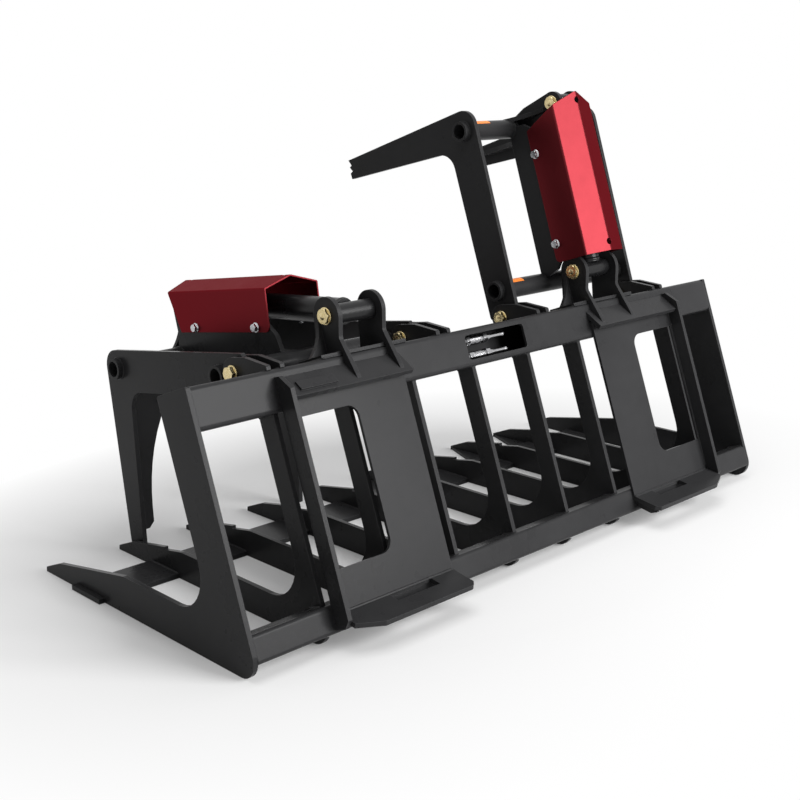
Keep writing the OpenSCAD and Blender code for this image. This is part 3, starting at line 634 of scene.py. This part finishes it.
def weld(points, width=5.0, ripple=2.6):
    """Weld bead along points, with the ripples of its run."""
    curve = bpy.data.curves.new("bead", "CURVE")
    curve.dimensions = "3D"
    curve.bevel_depth = width / 2 * MM
    curve.bevel_resolution = 1
    curve.use_fill_caps = True
    places = []
    for first, last in zip(points, points[1:]):
        count = max(2, int((last - first).length / (ripple * MM)))
        places += [first.lerp(last, i / count) for i in range(count)]
    places.append(points[-1])
    spline = curve.splines.new("POLY")
    spline.points.add(len(places) - 1)
    for i, place in enumerate(places):
        spline.points[i].co = (*place, 1)
        spline.points[i].radius = 1.0 if i % 2 else 0.86
    held = show("bead", curve)
    bpy.context.view_layer.update()
    mesh = bpy.data.meshes.new_from_object(held.evaluated_get(bpy.context.evaluated_depsgraph_get()))
    part = bmesh.new()
    part.from_mesh(mesh)
    bpy.data.objects.remove(held)
    bpy.data.curves.remove(curve)
    bpy.data.meshes.remove(mesh)
    return part


def arc(x, centre, radius, angles):
    """Points round a tube at x, at angles in radians."""
    return [Vector((x, centre[0] + radius * math.cos(a), centre[1] + radius * math.sin(a))) * MM for a in angles]


def frame_welds():
    """Beads that join the tines, the beams, the brackets, the hinge ears and the quick attach plates."""
    beads = Piece("welds_of_frame", BLACK, "frame")

    def run(first, last, width=5.0):
        """Straight bead between two places on the leaning frame: x, depth, height up the slope."""
        beads.add(weld([on_slope(*first), on_slope(*last)], width))

    def run_on_bar(x):
        beads.add(weld([Vector((x, BAR_REAR + 2, BAR_T)) * MM, Vector((x, BAR_FRONT - 2, BAR_T)) * MM]))

    # Inner tines, both faces
    for k in range(2, 10):
        left = -FRAME_W / 2 + (k - 1) * PITCH
        for x in (left, left + TINE_T):
            run((x, 13, TOP_UNDER), (x, 54, TOP_UNDER))
            run((x, 14, BOTTOM_FACE), (x, 44, BOTTOM_FACE))
            run((x, BOTTOM_BEAM, 78), (x, BOTTOM_BEAM, 42))
            run_on_bar(x)
    # End tines, inner face
    for x in (-FRAME_W / 2 + TINE_T, FRAME_W / 2 - TINE_T):
        run((x, 8, TOP_UNDER), (x, 68, TOP_UNDER))
        run((x, TOP_BEAM, TOP_UNDER + 8), (x, TOP_BEAM, TOP_FACE - 7))
        run((x, 6, BOTTOM_FACE), (x, 44, BOTTOM_FACE))
        run((x, BOTTOM_BEAM, 78), (x, BOTTOM_BEAM, 40))
        run_on_bar(x)
    # Cylinder brackets: ears and webs on the saddle, and the saddle on the beam
    saddle = TOP_FACE + SADDLE_T
    ear_in = EAR_OUT - PLATE_T
    for centre in (-CLAMP_X, CLAMP_X):
        for x in (-EAR_OUT, -ear_in, ear_in, EAR_OUT):
            run((centre + x, 5, saddle), (centre + x, 70, saddle))
        for sign in (-1, 1):
            for f in (WEB_FRONT, WEB_FRONT - PLATE_T):
                run((centre + sign * 60, f, saddle), (centre + sign * 96, f, saddle), 4)
            end = centre + sign * SADDLE_HALF
            run((end, 6, TOP_FACE), (end, 70, TOP_FACE))
        run((centre - 103, 73, TOP_FACE), (centre + 103, 73, TOP_FACE))
        for x0, x1 in ((-103, -62), (62, 103)):
            run((centre + x0, 3, TOP_FACE + 0.3), (centre + x1, 3, TOP_FACE + 0.3), 3.5)
    # Hinge ears, both faces of each
    ears = HINGE_GAP + PLATE_T
    for hook in HINGES.values():
        for face in (hook - ears, hook - HINGE_GAP, hook + HOOK_T + HINGE_GAP, hook + HOOK_T + ears):
            run((face, 8, TOP_FACE), (face, 73, TOP_FACE), 4)
            run((face, TOP_BEAM, TOP_FACE - 3), (face, TOP_BEAM, TOP_FACE - 54), 4)
    # Quick attach plates and their flanges
    for sign in (-1, 1):
        flange, inner, outer = sign * FLANGE_IN, sign * 292, sign * 570
        run((flange, -ATTACH_T, 74), (flange, -ATTACH_T, 462))
        run((inner, -ATTACH_T, 66), (outer, -ATTACH_T, 66), 6)
        run((inner, 0, TOP_UNDER + 0.5), (outer, 0, TOP_UNDER + 0.5), 4)
    beads.finished(50)


def clamp_welds(side):
    """Beads round the cross tubes and along the plates of one clamp."""
    beads = Piece("welds_of_clamp_" + side, BLACK, "clamp_" + side)
    whole_turn = [2 * math.pi * i / 40 for i in range(41)]
    for tube in (FRONT_TUBE, REAR_TUBE):
        for face in (-CLAMP_HALF, -CLAMP_HALF + HOOK_T, CLAMP_HALF - HOOK_T, CLAMP_HALF):
            beads.add(weld(arc(face, tube, TUBE_R + 0.3, whole_turn), 4.4), clamp_place(side))
    # Side plates under the guard, then the cheek plates that hold the rod pin
    side_out = GUARD_HALF - GUARD_T
    for inside, outside, start, width in ((side_out - PLATE_T, side_out, 60, 4.4),
                                          (CHEEK_IN, CHEEK_IN + PLATE_T, 5, 4.0)):
        angles = [math.radians(degrees) for degrees in range(start, 176, 8)]
        for face in (-outside, -inside, inside, outside):
            beads.add(weld(arc(face, arm_of(FRONT_TUBE), TUBE_R, angles), width), arm_place(side))
    beads.finished(50)


def stripe(name, tube):
    """Plain orange film wrapped on a tube of the right clamp."""
    ends, spread = (-196, -140), math.radians(50)
    part = bmesh.new()
    r = (TUBE_R + 0.12) * MM
    first = [part.verts.new((x * MM, tube[0] * MM + r, tube[1] * MM)) for x in ends]
    edge = part.edges.new(first)
    bmesh.ops.spin(part, geom=first + [edge], cent=(0, tube[0] * MM, tube[1] * MM), axis=(1, 0, 0),
                   angle=spread, steps=14, use_merge=False)
    bmesh.ops.recalc_face_normals(part, faces=part.faces)
    bmesh.ops.solidify(part, geom=part.faces[:], thickness=0.25 * MM)
    film = Piece(name, ORANGE, "clamp_right")
    film.add(part, clamp_place("right"))
    film.finished(40)


def barrel_ends(side):
    """Rubber rod wiper at the barrel's mouth, and the weld bead round its base."""
    place = cylinder_place(side) @ turn_z(math.pi / 2)
    rubber = Piece("rod_wiper_" + side, RUBBER, "ram_" + side)
    rubber.add(turned([(299.5, 12.9), (299.5, 18.5), (301.5, 18.2), (304, 15.2), (304.8, 13.6), (304.8, 12.9),
                       (299.5, 12.9)], 48), place)
    rubber.finished(40)
    rim = Piece("barrel_bead_" + side, BARREL, "ram_" + side)
    rim.add(turned([(16.5, 24.6), (17.5, 26.0), (20.5, 26.4), (23.5, 25.8), (24.5, 24.6)], 48), place)
    rim.finished(50)


def elbow_bend(start, bend_r):
    """Quarter turn of round tube, from along X at start to along Y."""
    bend = bmesh.new()
    bmesh.ops.create_circle(bend, cap_ends=True, segments=24, radius=6 * MM,
                            matrix=Matrix.Translation(Vector((start, 0, 0)) * MM) @ turn_y(math.pi / 2))
    bmesh.ops.spin(bend, geom=bend.verts[:] + bend.edges[:] + bend.faces[:],
                   cent=Vector((start, bend_r, 0)) * MM, axis=(0, 0, 1), angle=math.pi / 2, steps=10,
                   use_merge=False)
    bmesh.ops.remove_doubles(bend, verts=bend.verts, dist=1e-6)
    bmesh.ops.recalc_face_normals(bend, faces=bend.faces)
    return bend


def port_elbows(side):
    """Zinc elbow with a closed cap in each hose port of a barrel; the two caps face each other."""
    start, bend_r = 13, 11
    piece = Piece("port_elbows_" + side, SILVER, "ram_" + side)
    for along, facing in zip(PORTS, (0, math.pi)):
        port = cylinder_place(side) @ at(0, (along, PORT_FACE)) @ turn_y(math.pi / 2) @ turn_x(facing)
        piece.add(turned([(-6, 0), (-6, 4.8), (0.1, 4.8), (0.1, 9.2), (1.6, 9.2), (1.6, 0)], 32), port)
        piece.add(hexagon(19, 1.4, 9.4, 1.1, both=True), port)
        piece.add(bar(9, 13.4, 6, 32), port)
        piece.add(elbow_bend(start, bend_r), port)
        tail = port @ Matrix.Translation(Vector((start + bend_r, bend_r, 0)) * MM) @ turn_z(math.pi / 2)
        piece.add(hexagon(17, -0.5, 11, 1.1, both=True), tail)
        piece.add(turned([(10.8, 0), (10.8, 7.2), (16.6, 7.2), (17.8, 6), (17.8, 0)], 32), tail)
    piece.finished(40)


def rod_eye(side):
    """Black eye with its weld on the end of the chrome rod."""
    reach = math.hypot(*cylinder_run(side))
    place = cylinder_place(side)
    skin = [(-17.2, 13.3), (-17.2, 18.2), (-16.2, 19.3), (16.2, 19.3), (17.2, 18.2), (17.2, 13.3), (-17.2, 13.3)]
    collar = [(25, 12.75), (25, 13.3), (19, 15.2), (15, 15.0), (13.6, 13.4), (13.6, 12.75), (25, 12.75)]
    eye = Piece("rod_eye_" + side, BLACK, "piston_" + side)
    eye.add(turned(skin, 48), place @ at(0, (reach, 0)))
    eye.add(turned([(reach - back, r) for back, r in collar], 48), place @ turn_z(math.pi / 2))
    eye.finished(40)


def studio_floor():
    """Pale floor that keeps the object's shadow near it and turns white further out."""
    part = bmesh.new()
    bmesh.ops.create_circle(part, cap_ends=True, segments=96, radius=14.0)
    floor = show("floor", mesh_of("floor", part))
    floor.location.z = cad_box[0][2] - 0.0005
    shop = PaintShop("floor_paint")
    spread = shop.node("VectorMath", {"operation": "MULTIPLY"}, shop.here(), (1.0, 1.35, 1.0))
    away = shop.node("VectorMath", {"operation": "LENGTH"}, spread, out="Value")
    far = shop.node("Math", {"operation": "MAXIMUM"}, ((away - 0.7) * 1.5).clipped(), 0.12)
    paint = shop.node("BsdfDiffuse", None, Color=(0.86, 0.86, 0.86, 1))
    white = shop.node("Emission", None, Color=(1, 1, 1, 1), Strength=1.0)
    floor.data.materials.append(shop.surface(shop.node("MixShader", None, shop.seen() * far, paint, white)))


def studio_light():
    """White surroundings, a tall softbox behind the machine side, and a weak light overhead."""
    shop = PaintShop("studio", "worlds")
    sky = shop.node("Background", None, Color=(1, 1, 1, 1), Strength=shop.seen() * (1.0 - FILL) + FILL)
    bpy.context.scene.world = shop.surface(sky, "OutputWorld")
    for name, (place, wide, high, power) in LAMPS.items():
        lamp = bpy.data.lights.new(name, "AREA")
        lamp.shape = "RECTANGLE"
        lamp.size = wide
        lamp.size_y = high
        lamp.energy = power
        light = show(name, lamp)
        light.location = place
        light.rotation_euler = (Vector(LAMP_AIM) - Vector(place)).to_track_quat("-Z", "Y").to_euler()


def photo_camera():
    """Camera where the photograph's was."""
    lens = bpy.data.cameras.new("photo_view")
    lens.sensor_width = SENSOR
    lens.lens = VIEW_FOCAL * SENSOR / VIEW_WIDTH
    lens.clip_end = 60.0
    camera = show("photo_view", lens)
    turn = (turn_z(math.radians(VIEW_YAW)) @ turn_x(math.radians(VIEW_PITCH))
            @ turn_z(math.radians(VIEW_ROLL)))
    camera.matrix_world = HOME @ Matrix.Translation(VIEW_FROM) @ turn
    bpy.context.scene.camera = camera
    bpy.context.scene.view_settings.view_transform = "Standard"


for key, x in HINGES.items():
    hinge_bolt(key, x)
for side in SIDES:
    base_pin(side)
    rod_pin_halves(side)
    guard_bolts(side)
    guard(side)
    clamp_welds(side)
    barrel_ends(side)
    rod_eye(side)
    port_elbows(side)
for name, s in COUPLERS.items():
    quick_coupler(name, s)
frame_welds()
stripe("stripe_front_tube", FRONT_TUBE)
stripe("stripe_rear_tube", REAR_TUBE)
studio_floor()
studio_light()
photo_camera()
